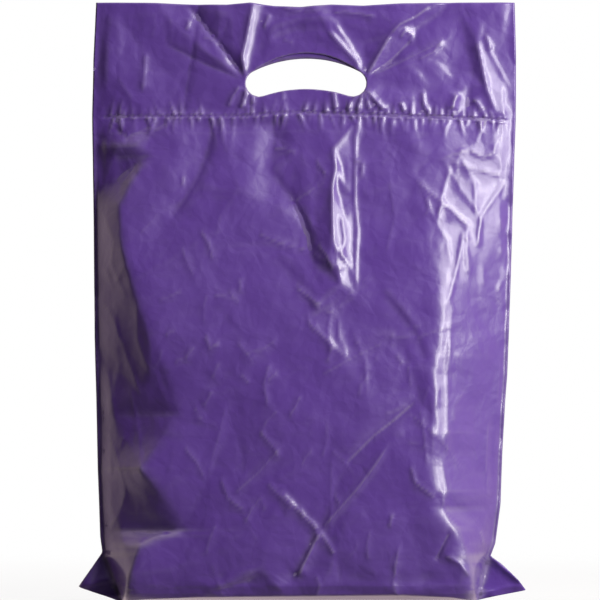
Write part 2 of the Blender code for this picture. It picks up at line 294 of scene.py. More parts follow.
# Folds of the two flat ears
EAR_CREASES = (
    (2.6, 4, 2, (144, 34), (154, 25), (170, 13)), (1.8, 2, 4, (140, 6), (156, 11), (172, 12)),
    (2.4, 2, 4, (-134, 20), (-155, 16), (-177, 11)), (-1.8, 3, 3, (-158, 36), (-150, 20), (-146, 4)),
)
# Folds of the turned-over top of the front
TOP_FOLDS = (
    (1.2, 4, 4, (-34, 434), (-24, 450), (-5, 457), (27, 457)),
    (-0.9, 4, 4, (-40, 427), (-30, 442), (-8, 448), (24, 446)),
    (1.2, 6, 8, (-60, 420), (-70, 440), (-66, 466)), (-1.4, 9, 10, (120, 464), (128, 440), (112, 410)),
    (-1.2, 7, 7, (52, 406), (90, 398), (124, 412)), (1.2, 8, 6, (-152, 462), (-156, 430), (-160, 400)),
)
TOP_CREASES = (
    (0.8, 1.2, 2.0, (-47.4, 410), (-50.5, 426), (-46, 446), (-42, 468)),
    (0.9, 1.6, 1.6, (-29, 460), (-33, 449)), (1.8, 1.8, 1.6, (-46.6, 401), (-48.6, 392), (-50.6, 385)),
    (1.0, 1.6, 1.6, (-43, 397), (-41, 388)), (1.0, 2.4, 1.6, (-52, 403), (-58, 394), (-61, 386)),
    (-0.8, 1.4, 3.0, (-48, 409), (-68, 436), (-92, 466)),
    (-0.5, 2.0, 2.0, (-48, 407), (-80, 421), (-109, 436)), (0.8, 2.0, 1.6, (-126.4, 430), (-128, 400)),
    (0.8, 1.6, 1.6, (-91.6, 456), (-94, 448)), (1.0, 1.2, 2.4, (47.4, 411.6), (56, 426), (66.4, 444)),
    (-0.8, 1.4, 2.4, (47.4, 410), (65, 422), (84, 441)),
    (1.0, 1.6, 3.4, (47.4, 409), (80, 425), (110, 440)),
    (0.9, 1.2, 2.4, (66, 444), (74, 452), (86, 458), (98, 467)),
    (0.9, 1.2, 1.8, (74, 441), (78, 447), (84, 444), (82, 437)),
    (0.7, 1.6, 1.2, (16.6, 448), (24, 439), (34, 428), (43, 417)),
    (0.6, 1.2, 1.2, (22, 452), (33, 438), (44, 418)), (0.9, 1.8, 2.2, (20, 461), (30, 462), (56, 458)),
    (1.9, 3.4, 1.6, (47.4, 399), (54, 391), (61.6, 383)),
    (1.7, 1.4, 1.6, (44.2, 396.6), (42, 389), (40.3, 382.4)),
    (1.2, 1.4, 1.4, (46, 398), (48, 390), (50, 383)), (1.2, 1.6, 1.6, (40, 396), (35, 389), (32, 383)),
    (1.2, 2.0, 2.0, (21, 399), (22, 391), (23, 384)),
    (0.7, 1.6, 1.6, (134, 440), (138, 420), (142, 401), (148, 384)),
    (1.1, 1.6, 1.8, (141, 444), (146, 432)), (0.7, 1.6, 1.6, (141, 438), (152, 417), (164, 396)),
    (1.7, 2.4, 2.4, (119, 397), (116, 391), (115, 384)), (1.5, 2.4, 2.4, (132, 393), (138, 384)),
    (1.4, 1.5, 1.6, (91.6, 399), (92, 390), (94, 382)), (1.3, 1.6, 1.6, (74, 390), (77, 382)),
    (0.8, 1.6, 2.2, (88, 424), (100, 430), (108, 440)), (0.8, 2.0, 2.0, (-20, 466), (-2, 462), (20, 464)),
)

# The punched handle: a bowed band with round ends
HANDLE_ARC = 93.0
HANDLE_RISE = 412.6
HANDLE_HALF_WIDTH = 47.4
HANDLE_HALF_MIDDLE = 12.2
HANDLE_HALF_END = 10.8
HANDLE_ROLL = 4.4  # the front's upper edge is pulled up this far, so the back's shows under it
SLOT_REACH = 9.0  # the mesh is evened out this near the slot's rim
SLOT_MARGIN = 8.0
SLOT_SPAN = (380, 440)

# Heights between which the named facets lie
BODY_SPAN, TOP_SPAN = (-6, 392), (372, 480)
BODY_FOLD_SHARE = 0.6  # shares of the listed heights that the film takes
TOP_CREASE_SHARE = 1.35
BACK_FOLD_SHARE, BACK_CREASE_SHARE = 0.7, 0.8
# Random facets: size of a facet, and its height where the bag's sizes don't give it
FRONT_WIDE, FRONT_FINE, FINE_SHARE = 27, 11, 0.34
BACK_WIDE, BACK_MIDDLE, BACK_TOP, BACK_FINE = (62, 3.2), (30, 1.4), (40, 1.3), (13, 0.2)
FIN_RIPPLES, EAR_RIPPLES = (13, 1.3), (20, 4.2)
# Folds scattered over the walls: shift of the seed, count, lowest and highest, heights, lengths
BODY_SCATTER = ((2, 60, 20, 360, (0.25, 0.7), (8, 30)), (6, 26, 40, 350, (0.3, 0.8), (30, 80)))
TOP_SCATTER = (3, 20, 400, 465, (0.2, 0.6), (8, 26))
BACK_SCATTER = (4, 90, 10, 360, (0.3, 1.2), (12, 60))
# Rows of puckers along the weld: below, -1, or above, 1; spacing; shortest and longest
GATHER_ROWS = ((-1, 6.4, 4, 16), (1, 6.0, 3, 13), (-1, 3.6, 1.2, 3), (1, 3.3, 1.2, 3))

# Rows of the two skins from the mouth down: lowest height of a run, and its spacing
OUTER_ROWS = ((433, 1.7), (393, 1.35), (366, 1.1), (45, 2.15), (14, 1.9), (9, 1.2), (0, 0.64))
INNER_ROWS = ((433, 4.5), (393, 3.2), (366, 4.0), (45, 5.5), (14, 4.5), (1.2, 4.0))
OUTER_BASE_ROWS, INNER_BASE_ROWS = 5, 3  # rows of the flat base, inward from its edge
INNER_COLUMNS = 52
INNER_FOOT = 1.2
INNER_CLEARANCE = 0.4
OUTER_BASE_HEIGHT, INNER_BASE_HEIGHT = 0.8, 2.0
HALF_FIN = 0.3  # half of the thickness of a side weld
HALF_SLIT = 0.12  # half of the narrowest space inside
STRESS_GAIN = 1.6  # how fast a bend turns the film pale


class BagSizes(bpy.types.PropertyGroup):
    columns: bpy.props.IntProperty(
        name="Columns", description="Strips of mesh across the front", default=240, min=40, max=400
    )
    film: bpy.props.FloatProperty(
        name="Film", description="Gap between the outer and the inner skin", default=0.0006, min=0.0002,
        max=0.003, subtype="DISTANCE", unit="LENGTH", precision=4,
    )
    crease_strength: bpy.props.FloatProperty(
        name="Creases", description="Scale of all creases and facets", default=1.0, min=0.0, max=2.0
    )
    gather: bpy.props.FloatProperty(
        name="Gather", description="Height of the puckers along the weld", default=0.0013, min=0.0,
        max=0.003, subtype="DISTANCE", unit="LENGTH", precision=4,
    )
    crumple: bpy.props.FloatProperty(
        name="Crumple", description="Height of the small random facets", default=0.0007, min=0.0,
        max=0.004, subtype="DISTANCE", unit="LENGTH", precision=4,
    )
    seed: bpy.props.IntProperty(name="Seed", description="Seed of the random crumpling", default=11)


class FilmLook(bpy.types.PropertyGroup):
    film_colour: bpy.props.FloatVectorProperty(
        name="Film", description="Colour of the violet film", subtype="COLOR", size=3,
        default=(0.155, 0.066, 0.43), min=0.0, max=1.0,
    )
    # Pale colour of film stretched along the creases; on the slot's rim the same colour is a painted
    # highlight
    pale_crease_and_rim_highlight_colour: bpy.props.FloatVectorProperty(
        name="Stressed film", description="Colour of the film where a crease has stretched it pale",
        subtype="COLOR", size=3, default=(0.270, 0.190, 0.470), min=0.0, max=1.0,
    )
    roughness: bpy.props.FloatProperty(
        name="Roughness", description="Roughness of the smooth film", default=0.38, min=0.0, max=1.0
    )
    gloss: bpy.props.FloatProperty(
        name="Gloss", description="Weight of the sharp shine over the soft one", default=0.7, min=0.0, max=1.0
    )
    crinkle: bpy.props.FloatProperty(
        name="Crinkle", description="Scale of the finest crinkles", default=1.0, min=0.0, max=4.0
    )


class StageLook(bpy.types.PropertyGroup):
    distance: bpy.props.FloatProperty(
        name="Distance", description="From the camera to the bag", default=2.4, min=0.5, max=10.0,
        subtype="DISTANCE", unit="LENGTH",
    )
    field: bpy.props.FloatProperty(
        name="Field", description="Width of the view at the bag", default=0.4705, min=0.1, max=2.0,
        subtype="DISTANCE", unit="LENGTH", precision=4,
    )
    eye_height: bpy.props.FloatProperty(
        name="Eye height", description="Height of the camera", default=0.10, min=0.0, max=2.0,
        subtype="DISTANCE", unit="LENGTH",
    )
    floor_colour: bpy.props.FloatVectorProperty(
        name="Floor", description="Colour of the floor", subtype="COLOR", size=3,
        default=(0.86, 0.86, 0.86), min=0.0, max=1.0,
    )
    panel_power: bpy.props.FloatProperty(
        name="Panel light", description="Power of the tall soft panel on the right", default=20.5, min=0.0,
        max=2000.0,
    )
    strip_power: bpy.props.FloatProperty(
        name="Strip light", description="Power of the narrow bright strip before the panel", default=6.0,
        min=0.0, max=2000.0,
    )
    top_power: bpy.props.FloatProperty(
        name="Top light", description="Power of the wide soft light overhead", default=4.0, min=0.0,
        max=2000.0,
    )


# --- shaping the film


def along(stations, places):
    """Straight interpolation between stations of (place, value), given and returned in millimetres."""
    spots, values = zip(*stations)
    return np.interp(places, spots, values)


def smooth(share):
    share = np.clip(share, 0.0, 1.0)
    return share * share * (3 - 2 * share)


def ramp(value, rounding):
    """Nothing below zero, the value itself far above it, and a rounded bend between."""
    return 0.5 * (value + np.sqrt(value**2 + rounding**2))


def half_width(s, z):
    """Distance from the middle to the side weld, on the side that s is on."""
    return np.where(s < 0, along(LEFT_EDGE, z), along(RIGHT_EDGE, z))


def body_edge(s, z):
    """Where the space inside ends: the side weld, or the base's corner below the ear."""
    feet = np.where(s < 0, LEFT_FOOT, RIGHT_FOOT)
    top = np.where(s < 0, along(LEFT_EDGE, EAR_TOP), along(RIGHT_EDGE, EAR_TOP))
    low = feet + (top - feet) * z / EAR_TOP
    return np.where(z < EAR_TOP, low, half_width(s, z)) - FIN


def envelope(x, z, is_front):
    """Half of the bag's depth without its folds: flat in the middle, then falling to the side welds."""
    edge = body_edge(x, z)
    turn = np.where(x < 0, along(LEFT_TURN, z), along(RIGHT_TURN, z))
    turn = np.minimum(np.where(is_front, turn, along(BACK_TURN, z)), edge - NARROWEST_FLANK)
    crown = 1 - CROWN * np.clip(np.abs(x) / turn, 0, 1) ** 2
    rounding = np.where(x < 0, LEFT_ROUNDING, along(RIGHT_ROUNDING, z))
    band = np.where(is_front & (x > 0), along(RIGHT_BAND, z), 0.0)
    past_band = np.abs(x) - turn - band / 2
    fall = np.clip(ramp(past_band, rounding) / ramp(edge - turn - band / 2, rounding), 0, 1)
    on_band = ramp(past_band + band + BAND_SOFTNESS / 2, BAND_SOFTNESS) - ramp(past_band, rounding)
    shoulder = np.where(x < 0, LEFT_SHOULDER, along(RIGHT_SHOULDER, z))
    return (along(FULLNESS, z) * crown - BAND_SLOPE * on_band) * (1 - fall) * (1 + shoulder * fall)


def distance_to_run(x, z, first, last):
    """Distance from each point to a straight run, on its right side positive, and the share along it."""
    dx, dz = last[0] - first[0], last[1] - first[1]
    length = math.hypot(dx, dz)
    share = np.clip(((x - first[0]) * dx + (z - first[1]) * dz) / length**2, 0, 1)
    away_x = x - first[0] - share * dx
    away_z = z - first[1] - share * dz
    side = np.where(away_x * dz - away_z * dx >= 0, 1.0, -1.0)
    return np.hypot(away_x, away_z) * side, share * length, length


def fold_heights(x, z, folds, sharp):
    """Sum of the folds' heights at each point. A sharp fold has a pinched crest, a soft one is round."""
    total = np.zeros_like(x)
    for height, left, right, *points in folds:
        runs = list(zip(points, points[1:]))
        full = sum(math.dist(a, b) for a, b in runs)
        nearest = np.full(x.shape, 1e9)
        place = np.zeros_like(x)
        gone = 0.0
        for first, last in runs:
            far, share, length = distance_to_run(x, z, first, last)
            closer = np.abs(far) < np.abs(nearest)
            nearest = np.where(closer, far, nearest)
            place = np.where(closer, (gone + share) / full, place)
            gone += length
        width = np.where(nearest < 0, left, right)
        ratio = np.abs(nearest) / width
        shape = np.exp(-(np.sqrt(ratio**2 + 0.05) - 0.2236)) if sharp else np.exp(-(ratio**2))
        taper = smooth(np.minimum(place, 1 - place) * 5 + 0.25)
        total += height * shape * taper
    return total


def facet_heights(x, z, nodes, creases=()):
    """Flat facets between nodes of (across, up, out). A crease is a pair of places in the list of nodes."""
    spots = [Vector((node[0], node[1])) for node in nodes]
    found = geometry.delaunay_2d_cdt(spots, list(creases), [], 0, 1e-4)
    points, faces, origins = found[0], found[2], found[3]
    heights = [nodes[origin[0]][2] if origin else None for origin in origins]
    total = np.zeros_like(x)
    for face in faces:
        corners = [points[i] for i in face]
        out = [heights[i] if heights[i] is not None else 0.0 for i in face]
        (ax, az), (bx, bz), (cx, cz) = corners
        area = (bx - ax) * (cz - az) - (cx - ax) * (bz - az)
        if abs(area) < 1e-6:
            continue
        u = ((x - ax) * (cz - az) - (cx - ax) * (z - az)) / area
        v = ((bx - ax) * (z - az) - (x - ax) * (bz - az)) / area
        inside = (u >= -1e-6) & (v >= -1e-6) & (u + v <= 1 + 1e-6)
        total[inside] = (out[0] + (out[1] - out[0]) * u + (out[2] - out[0]) * v)[inside]
    return total


def named_facets(x, z, table, chains, floor, ceiling):
    """Facets between named nodes, flat to the envelope at a rim round them."""
    names = list(table)
    rim = [(across, up, 0) for up in range(floor + 6, ceiling - 7, 45) for across in (-172, 168)]
    rim += [(across, up, 0) for across in range(-150, 151, 30) for up in (floor, ceiling)]
    pairs = [pair for chain in chains for pair in zip(chain.split(), chain.split()[1:])]
    creases = [(names.index(first), names.index(last)) for first, last in pairs]
    return facet_heights(x, z, list(table.values()) + rim, creases)


def random_facets(x, z, seed, cell, height):
    """Small random facets over a whole wall."""
    dice = np.random.default_rng(seed)
    nodes = []
    for across in np.arange(-190, 191, cell):
        for up in np.arange(-20, 500, cell):
            shift = dice.uniform(-0.42, 0.42, 2) * cell
            nodes.append((across + shift[0], up + shift[1], dice.uniform(-1, 1) * height))
    return facet_heights(x, z, nodes)


def random_creases(seed, count, low, high, heights, lengths):
    """Short bent creases scattered over a wall between two heights."""
    dice = np.random.default_rng(seed)
    folds = []
    for _ in range(count):
        x, z = dice.uniform(-150, 150), dice.uniform(low, high)
        turn = dice.normal(math.radians(100), math.radians(38))
        length = dice.uniform(*lengths)
        bend = dice.uniform(-0.5, 0.5)
        points = [(x, z)]
        for step in range(2):
            turn += bend * step
            x, z = x + math.cos(turn) * length / 2, z - math.sin(turn) * length / 2
            points.append((x, z))
        folds.append((dice.uniform(*heights), dice.uniform(1.2, 2.6), dice.uniform(1.2, 2.6), *points))
    return folds


def scattered_creases(x, z, seed, rule):
    """Heights of the short creases that one rule scatters."""
    shift, *spread = rule
    return fold_heights(x, z, random_creases(seed + shift, *spread), True)


def gathers(x, z, seed, height):
    """Puckers across the weld, where welding has shrunk the film: short ridges above and below the line."""
    dice = np.random.default_rng(seed)
    total = np.zeros_like(x)
    from_weld = z - along(WELD_LINE, x)
    for side, step, low, high in GATHER_ROWS:
        across = -160.0
        while across < 160:
            across += step * dice.uniform(0.4, 1.6) * (0.75 if across > 30 else 1.2)
            reach = dice.uniform(low, high)
            lean = dice.normal(0, 0.2)
            width = dice.uniform(0.9, 1.9)
            tall = height * dice.uniform(0.25, 1.3) * min(1.0, reach / 4)
            away = from_weld * side
            centre = across + lean * away
            fade = smooth(away / 1.6) * np.exp(-((np.maximum(away, 0) / reach) ** 2) * 1.3)
            total += tall * fade * np.exp(-(((x - centre) / width) ** 2))
    return total


def weld_line(x, z):
    """The weld itself: a pressed groove between two rows of small beads."""
    from_weld = z - along(WELD_LINE, x)
    depth = 0.55 + 0.2 * np.sin(x * 2 * math.pi / 5.3) + 0.2 * np.sin(x * 2 * math.pi / 3.7 + 1.0)
    return -depth * np.exp(-((from_weld / 0.8) ** 2))


def smoothed(heights, rounds):
    """Averages a grid of heights with its neighbours along both ways."""
    for _ in range(rounds):
        padded = np.pad(heights, 1, mode="edge")
        along_rows = (padded[:-2, 1:-1] + 2 * heights + padded[2:, 1:-1]) / 4
        padded = np.pad(along_rows, 1, mode="edge")
        heights = (padded[1:-1, :-2] + 2 * along_rows + padded[1:-1, 2:]) / 4
    return heights


def weld_shares(x, z):
    """How far each point belongs to the body under the weld, and how far to the turned-over top."""
    above_weld = z - along(WELD_LINE, x)
    return smooth(-above_weld / 9), smooth(above_weld / 5)


def front_relief(x, z, sizes):
    """How far the front's film stands out of its envelope."""
    seed = sizes.seed
    body, top = weld_shares(x, z)
    wide = named_facets(x, z, NODES, NODE_CREASES, *BODY_SPAN) * body
    wide += named_facets(x, z, TOP_NODES, TOP_NODE_CREASES, *TOP_SPAN) * top
    soft = fold_heights(x, z, BODY_FOLDS, False) * body * BODY_FOLD_SHARE
    wide += soft + fold_heights(x, z, TOP_FOLDS, False) * top
    wide += random_facets(x, z, seed, FRONT_WIDE, sizes.crumple / MM)
    wide = smoothed(wide, 1)
    fine = fold_heights(x, z, BODY_CREASES, True) * body
    fine += fold_heights(x, z, TOP_CREASES, True) * top * TOP_CREASE_SHARE
    fine += random_facets(x, z, seed + 1, FRONT_FINE, sizes.crumple / MM * FINE_SHARE)
    for rule in BODY_SCATTER:
        fine += scattered_creases(x, z, seed, rule) * body
    fine += scattered_creases(x, z, seed, TOP_SCATTER) * top
    fine += gathers(x, z, seed + 4, sizes.gather / MM) + weld_line(x, z)
    return (wide + fine) * sizes.crease_strength


def back_relief(x, z, sizes):
    """How far the back's film stands out of its envelope."""
    seed = sizes.seed + 20
    body, top = weld_shares(x, z)
    wide = random_facets(x, z, seed, *BACK_WIDE) * body
    wide += random_facets(x, z, seed + 1, *BACK_MIDDLE) * body
    wide += random_facets(x, z, seed + 2, *BACK_TOP) * top
    wide += fold_heights(x, z, TOP_FOLDS, False) * top * BACK_FOLD_SHARE
    wide = smoothed(wide, 2)
    fine = random_facets(x, z, seed + 3, *BACK_FINE)
    fine += scattered_creases(x, z, seed, BACK_SCATTER) * body
    fine += fold_heights(x, z, TOP_CREASES, True) * top * BACK_CREASE_SHARE
    fine = smoothed(fine, 1)
    fine += gathers(x, z, seed + 5, sizes.gather / MM) + weld_line(x, z)
    return (wide + fine) * sizes.crease_strength


def inward(x, z):
    """Nothing at the side weld, one from a finger's width inside it."""
    return smooth(np.clip((body_edge(x, z) - np.abs(x)) / 9.0, 0, 1))


def front_depth(x, z, sizes):
    """How far the front stands before the middle plane."""
    relief = front_relief(x, z, sizes) * inward(x, z) * smooth(z / 5.0)
    depth = envelope(x, z, True) + relief
    return np.where(z > LIMP_FROM, depth, np.maximum(depth, 0.0))


def back_depth(x, z, sizes):
    """How far the back stands behind the middle plane. Above the weld it follows the front."""
    relief = back_relief(x, z, sizes) * inward(x, z) * smooth(z / 5.0)
    own = np.maximum(envelope(x, z, False) + relief, 0.0)
    follow = smooth((z - 384) / 14)
    close = along(WALL_GAP, z) * inward(x, z) - front_depth(x, z, sizes)
    return own * (1 - follow) + close * follow


def side_sway(x, z, edge, sizes):
    """How far the flat film outside the walls, the fins and the ears, bends to the front or back."""
    outside = smooth((np.abs(x) - edge + 7.0) / 9.0)
    ears = smooth((EAR_TOP - z) / 14.0)
    wave = -fold_heights(x, z, EAR_CREASES, True)
    ripples = random_facets(x, z, sizes.seed + 40, *FIN_RIPPLES)
    wave += ripples + random_facets(x, z, sizes.seed + 41, *EAR_RIPPLES) * ears
    return wave * outside * smooth((z - 1.0) / 4.0)


def row_heights(spacings):
    """Heights of the mesh's rows, from the mouth down, from runs of (lowest height, spacing)."""
    rows = [MOUTH_ROW]
    for low, spacing in spacings:
        count = max(1, round((rows[-1] - low) / spacing))
        rows += list(np.linspace(rows[-1], low, count + 1)[1:])
    return np.array(rows)


def bent_rows(x, z, is_front):
    """Follows the weld, the mouth and the front's foot with the rows near them, straight in the flat mesh."""
    weld = along(WELD_LINE, x) - WELD_ROW
    mouth = along(MOUTH_LINE, x) - MOUTH_ROW
    near_weld = 1 - smooth(np.abs(z - WELD_ROW) / WELD_PULL)
    near_mouth = smooth((z - (MOUTH_ROW - MOUTH_PULL)) / MOUTH_PULL)
    foot = np.where(is_front, along(FRONT_FOOT, x), 0.0) * (1 - smooth(z / FOOT_PULL))
    return z + weld * near_weld + mouth * near_mouth + foot


# --- the handle slot


def handle_outline(roll, steps=160):
    """The slot's outline in X and Z, anticlockwise: a bowed band with round ends."""
    spread = math.asin((HANDLE_HALF_WIDTH - HANDLE_HALF_END) / HANDLE_ARC)
    centre = HANDLE_RISE - HANDLE_ARC
    taper = HANDLE_HALF_END - HANDLE_HALF_MIDDLE

    def band(angle, side):
        """A point of the band's upper edge, 1, or of its lower edge, -1."""
        share = (angle / spread) ** 2
        radius = HANDLE_ARC + side * HANDLE_HALF_MIDDLE + side * taper * share
        lift = roll * (1 - share) if side > 0 else 0.0
        return radius * math.sin(angle), centre + radius * math.cos(angle) + lift

    def end(angle, side):
        """A point of the round end on the left, -1, or on the right, 1."""
        x = side * HANDLE_ARC * math.sin(spread) + HANDLE_HALF_END * math.cos(angle)
        return x, centre + HANDLE_ARC * math.cos(spread) + HANDLE_HALF_END * math.sin(angle)

    left = np.linspace(math.pi / 2 + spread, 3 * math.pi / 2 + spread, steps // 3)[1:-1]
    right = np.linspace(-math.pi / 2 - spread, math.pi / 2 - spread, steps // 3)[1:-1]
    points = [band(angle, 1) for angle in np.linspace(spread, -spread, steps)]
    points += [end(angle, -1) for angle in left]
    points += [band(angle, -1) for angle in np.linspace(-spread, spread, steps)]
    points += [end(angle, 1) for angle in right]
    return np.array(points)


def inside_outline(x, z, outline):
    """Whether each point is inside a closed outline, by counting the edges that a level line crosses."""
    crossings = np.zeros(x.shape, int)
    for (ax, az), (bx, bz) in zip(outline, np.roll(outline, -1, axis=0)):
        spans = (az > z) != (bz > z)
        with np.errstate(divide="ignore", invalid="ignore"):
            at = ax + (z - az) * (bx - ax) / (bz - az)
        crossings += spans & (x < at)
    return crossings % 2 == 1


def nearest_on_outline(place, outline):
    """The closest point of a closed outline to a place."""
    starts, ends = outline, np.roll(outline, -1, axis=0)
    runs = ends - starts
    share = np.clip(((place - starts) * runs).sum(1) / (runs**2).sum(1), 0, 1)
    spots = starts + runs * share[:, None]
    return spots[np.argmin(((spots - place) ** 2).sum(1))]


# --- building the shell


def tube_grid(bm, around, rows):
    """A grid whose columns run round the bag. Returns its points as rows of vertices."""
    made = bmesh.ops.create_grid(bm, x_segments=around, y_segments=rows, size=1.0)
    table = [[None] * (around + 1) for _ in range(rows + 1)]
    for vert in made["verts"]:
        column = round((vert.co.x + 1) / 2 * around)
        row = round((1 - vert.co.y) / 2 * rows)
        table[row][column] = vert
    return table


def wall_columns(front, back):
    """Places of the columns: the front from left to right, then the back from right to left."""
    return np.concatenate([np.linspace(-1, 1, front + 1), np.linspace(1, -1, back + 1)[1:]])


def in_order(items):
    """Each item once, in the order they came, so that every run builds the same mesh."""
    return list(dict.fromkeys(items))


def near_slot(place):
    low, high = SLOT_SPAN
    return abs(place[0]) < HANDLE_HALF_WIDTH + SLOT_MARGIN and low < place[1] < high


def snap_to_slot(bm, table, columns, places, outline):
    """Opens the slot in one wall of the flat tube: the faces inside go, and the rim lies on the outline."""
    wall = [line[column] for line in table for column in columns]
    near = [vert for vert in wall if near_slot(places[vert])]
    spots = np.array([places[vert] for vert in near])
    covered = dict(zip(near, inside_outline(spots[:, 0], spots[:, 1], outline)))
    faces = in_order(face for vert in near for face in vert.link_faces)
    faces = [face for face in faces if all(vert in covered for vert in face.verts)]
    gone = [face for face in faces if sum(covered[vert] for vert in face.verts) >= 3]
    bmesh.ops.delete(bm, geom=gone, context="FACES")
    alive = [vert for vert in near if vert.is_valid and vert.link_faces]
    rim = [vert for vert in alive if vert.is_boundary]
    for vert in rim:
        places[vert] = nearest_on_outline(places[vert], outline)
    inner = [
        vert for vert in alive
        if not vert.is_boundary and np.abs(outline - places[vert]).sum(1).min() < SLOT_REACH
    ]
    for _ in range(4):
        for vert in rim:
            beside = [edge.other_vert(vert) for edge in vert.link_edges if edge.is_boundary]
            middle = sum(places[other] for other in beside) / len(beside)
            places[vert] = nearest_on_outline((places[vert] + middle) / 2, outline)
        for vert in inner:
            beside = [edge.other_vert(vert) for edge in vert.link_edges]
            if all(other in places for other in beside):
                places[vert] = sum(places[other] for other in beside) / len(beside)
    return [edge for edge in in_order(edge for vert in rim for edge in vert.link_edges) if edge.is_boundary]


def film_skin(bm, sizes, front, back, spacings, base_rows, inset):
    """One skin of the bag, laid out flat, opened at the slot and then shaped.

    Gives the rows of vertices that are left, from the mouth to the base, and the slot's rim in each wall.
    """
    levels = np.concatenate([row_heights(spacings), -np.arange(1, base_rows + 1)])
    shares = wall_columns(front, back)
    is_front = np.arange(len(shares)) <= front
    table = tube_grid(bm, front + back, len(levels) - 1)
    s, level = np.meshgrid(shares, levels)
    z = np.maximum(level, INNER_FOOT if inset else 0.0)
    x = s * (body_edge(s, z) - INNER_CLEARANCE if inset else half_width(s, z))
    z = bent_rows(x, z, is_front)
    grid = [(row, column) for row in range(len(levels)) for column in range(len(shares))]
    places = {table[row][column]: np.array((x[row, column], z[row, column])) for row, column in grid}
    walls = ((range(front + 1), HANDLE_ROLL), (range(front, front + back + 1), 0.0))
    slots = [snap_to_slot(bm, table, columns, places, handle_outline(roll)) for columns, roll in walls]
    grid = [(row, column) for row, column in grid if table[row][column].is_valid]
    for row, column in grid:
        x[row, column], z[row, column] = places[table[row][column]]
    depth = np.zeros_like(x)
    depth[:, is_front] = front_depth(x[:, is_front], z[:, is_front], sizes)
    depth[:, ~is_front] = back_depth(x[:, ~is_front], z[:, ~is_front], sizes)
    bent = np.clip(np.abs(depth - smoothed(depth, 2)) * STRESS_GAIN, 0, 1)
    under = np.clip(-level, 0, base_rows)
    depth = depth * (1 - under / (base_rows + 0.6))
    if inset:
        depth = np.where(z > LIMP_FROM, depth - inset, np.maximum(depth - inset, HALF_SLIT))
    else:
        depth = depth + HALF_FIN
    y = np.where(is_front, -depth, depth) + side_sway(x, z, body_edge(x, z), sizes)
    flattened = under / base_rows
    z = z * (1 - flattened) + (INNER_BASE_HEIGHT if inset else OUTER_BASE_HEIGHT) * flattened
    stress_and_rim_highlight = bm.verts.layers.float["stress_and_rim_highlight"]
    for row, column in grid:
        vert = table[row][column]
        vert.co = (x[row, column] * MM, y[row, column] * MM, z[row, column] * MM)
        # The slot's rim gets the full pale colour, a painted highlight along the rim; elsewhere the bend sets
        # how pale the stretched film is
        rim_painted_highlight = vert.is_boundary and 0 < row < len(levels) - 1
        vert[stress_and_rim_highlight] = 1.0 if rim_painted_highlight else bent[row, column]
    return [[vert for vert in line if vert.is_valid] for line in table], slots


def ring_edges(verts):
    """The edges that join the vertices of one open end."""
    inside = set(verts)
    edges = in_order(edge for vert in verts for edge in vert.link_edges)
    return [edge for edge in edges if edge.is_boundary and set(edge.verts) <= inside]


def film_shell(sizes):
    """The whole bag as one closed mesh: outer skin, inner skin, and the rims that join them."""
    bm = bmesh.new()
    # Per-vertex paleness: stretched film along creases, and a painted highlight on the slot's rim
    bm.verts.layers.float.new("stress_and_rim_highlight")
    plans = (
        (sizes.columns, sizes.columns // 3, OUTER_ROWS, OUTER_BASE_ROWS, 0.0),
        (INNER_COLUMNS, INNER_COLUMNS, INNER_ROWS, INNER_BASE_ROWS, sizes.film / MM),
    )
    skins = [film_skin(bm, sizes, *plan) for plan in plans]
    mouths, slots = [], []
    for rows, rims in skins:
        seam = {line[-1]: line[0] for line in rows}
        bmesh.ops.weld_verts(bm, targetmap=seam)
        mouth, foot = ([vert for vert in rows[end] if vert.is_valid] for end in (0, -1))
        mouths.append(ring_edges(mouth))
        slots.append(rims)
        closed = bmesh.ops.contextual_create(bm, geom=ring_edges(foot))
        bmesh.ops.triangulate(bm, faces=closed["faces"], ngon_method="EAR_CLIP")
    for outer, inner in zip([mouths[0], *slots[0]], [mouths[1], *slots[1]]):
        bmesh.ops.bridge_loops(bm, edges=outer + inner)
    loose = [vert for vert in bm.verts if not vert.link_faces]
    bmesh.ops.delete(bm, geom=loose, context="VERTS")
    bmesh.ops.recalc_face_normals(bm, faces=bm.faces[:])
    return bm


# --- material


def add_node(tree, kind, place, inputs=(), **values):
    """A shader node with its settings, and with the values of its unlinked sockets as (socket, value)."""
    node = tree.nodes.new("ShaderNode" + kind)
    node.location = place
    for name, value in values.items():
        setattr(node, name, value)
    for socket, value in inputs:
        node.inputs[socket].default_value = value
    return node


def join(source, output, target, socket):
    source.id_data.links.new(source.outputs[output], target.inputs[socket])


def add_noise(tree, places, place, scale, detail):
    """A noise that is fixed to the bag, in patches per metre."""
    noise = add_node(tree, "TexNoise", place, (("Scale", scale), ("Detail", detail)))
    join(places, "Object", noise, "Vector")
    return noise


def add_bump(tree, source, output, distance, below, place):
    """A bump of one height, laid over the normal below it."""
    bump = add_node(tree, "Bump", place, (("Strength", 1.0), ("Distance", distance)))
    join(source, output, bump, "Height")
    if below is not None:
        join(below, "Normal", bump, "Normal")
    return bump


FILM_IOR = 1.6
SHINE_ROUGHNESS = 0.15
BLOTCHES = 16.0  # patches of duller and clearer film per metre
ROUGHNESS_SPREAD = (-0.06, 0.08)  # change of the roughness from the clearest film to the dullest
WARP = (40.0, 0.012)  # bends the crinkles' edges: patches per metre, and reach in metres
# Fine crinkles of the film: patches per metre, height in metres, and the kind of cell
CRINKLES = (
    (20.0, 0.0010, "F1"), (30.0, 0.0009, "DISTANCE_TO_EDGE"), (70.0, 0.0004, "DISTANCE_TO_EDGE"),
    (150.0, 0.00016, "F1"),
)
FILM_GRAIN = (420.0, 0.00004)


